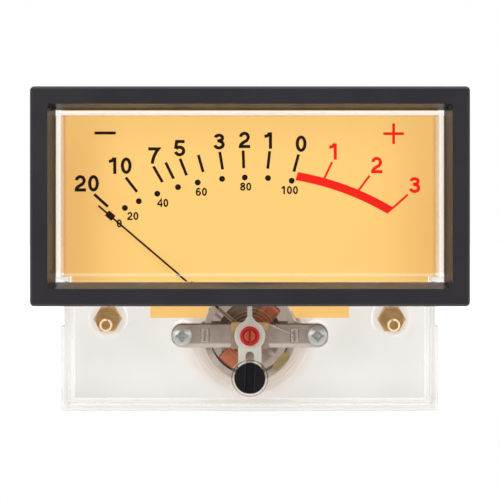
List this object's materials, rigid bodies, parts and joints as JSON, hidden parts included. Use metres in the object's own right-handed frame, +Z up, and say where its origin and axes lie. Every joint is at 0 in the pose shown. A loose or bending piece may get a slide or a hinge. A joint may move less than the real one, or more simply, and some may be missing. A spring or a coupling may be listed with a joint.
{
  "type": "panel level meter",
  "caption": "Wide backlit panel meter with a moving-coil pointer, a zero adjuster below the bezel and threaded rear terminals.",
  "frame": {"origin": "middle of the bounding box at the level of the case's flat base", "axes": "+X to the right as seen from the front, +Y from the dial to the rear terminals, +Z up"},
  "size_m": [0.097, 0.041, 0.0725],
  "materials": {
    "bezel_black": "fine matt",
    "clear_cover": "clear, glossy",
    "milky_case": "milky, semi-gloss",
    "dial_amber": "printed matt film, backlit",
    "opal_backing": "opal",
    "board_white": "white solder mask",
    "lamp_lens": "clear resin",
    "resistor_black": "matt",
    "gilt_pins": "gilt",
    "bridge_plate": "dull nickel",
    "screw_plate": "nickel",
    "iron_plate": "nickel",
    "magnet": "ground",
    "support_brass": "cast",
    "tan_fibre": "matt fibre",
    "spring_bronze": "rolled",
    "washer_steel": "zinc",
    "red_lacquer": "lacquer",
    "red_screw": "tinted lacquer",
    "jewel": "polished",
    "tinned_wire": "tinned",
    "anchor_plate": "nickel",
    "turned_brass": "turned",
    "former_aluminium": "plain",
    "copper_winding": "enamelled copper wire",
    "pivot_steel": "polished",
    "pointer_dark": "dark matt paint",
    "weight_brass": "rolled",
    "lever_plate": "nickel, satin",
    "adjuster_black": "glossy",
    "stud_brass": "turned",
    "tinned_lug": "tinned",
    "wire_white": "plastic sleeve",
    "wire_cream": "plastic sleeve"
  },
  "bodies": {
    "meter": {"bezel_frame": "bezel_black", "front_cover": "clear_cover", "rear_case": "milky_case", "dial_film": "dial_amber", "dial_backing": "opal_backing", "lamp_board": "board_white", "lamp_domes": "lamp_lens", "lamp_resistors": "resistor_black", "lamp_pins": "gilt_pins", "front_bridge": "bridge_plate", "bridge_screws": "screw_plate", "iron_ring": "iron_plate", "core_magnet": "magnet", "core_supports": "support_brass", "rear_bridge": "bridge_plate", "insulating_plate": "tan_fibre", "contact_tag": "spring_bronze", "insulating_bush": "tan_fibre", "spring_washer": "washer_steel", "front_lock_nut": "red_lacquer", "front_jewel_screw": "red_screw", "jewels": "jewel", "front_jumper": "tinned_wire", "rear_insulator": "tan_fibre", "rear_anchor": "anchor_plate", "rear_lock_nut": "turned_brass", "rear_jewel_screw": "turned_brass", "rear_hairspring": "spring_bronze", "terminal_studs": "stud_brass", "stud_washers": "washer_steel", "solder_lugs": "tinned_lug", "stud_nuts": "stud_brass", "left_lead": "wire_white", "right_lead": "wire_cream"},
    "pointer": {"coil_former": "former_aluminium", "coil_winding": "copper_winding", "pivot_bases": "turned_brass", "pivots": "pivot_steel", "spring_collets": "turned_brass", "pointer_cross": "former_aluminium", "pointer_needle": "pointer_dark", "balance_weight": "weight_brass"},
    "zero_lever": {"zero_lever": "lever_plate", "front_hairspring": "spring_bronze"},
    "zero_adjuster": {"zero_adjuster": "adjuster_black", "adjuster_clip": "washer_steel"}
  },
  "joints": [
    {"name": "pointer_swing", "type": "hinge", "parent": "meter", "child": "pointer", "pos_m": [0, 0, 0.01675], "axis": [0, 1, 0], "range_deg": [-3, 101], "stiffness_Nm_per_rad": 0.00002, "deforming": ["front_hairspring", "rear_hairspring"]},
    {"name": "zero_adjuster_turn", "type": "hinge", "parent": "meter", "child": "zero_adjuster", "pos_m": [0, 0, 0.0075], "axis": [0, 1, 0], "range_deg": [-35, 35]},
    {"name": "zero_lever_swing", "type": "hinge", "parent": "meter", "child": "zero_lever", "pos_m": [0, 0, 0.01675], "axis": [0, 1, 0], "range_deg": [-4.8, 4.8]}
  ],
  "couplings": [
    {"joint": "zero_lever_swing", "follows": "zero_adjuster_turn", "ratio": -0.133}
  ]
}
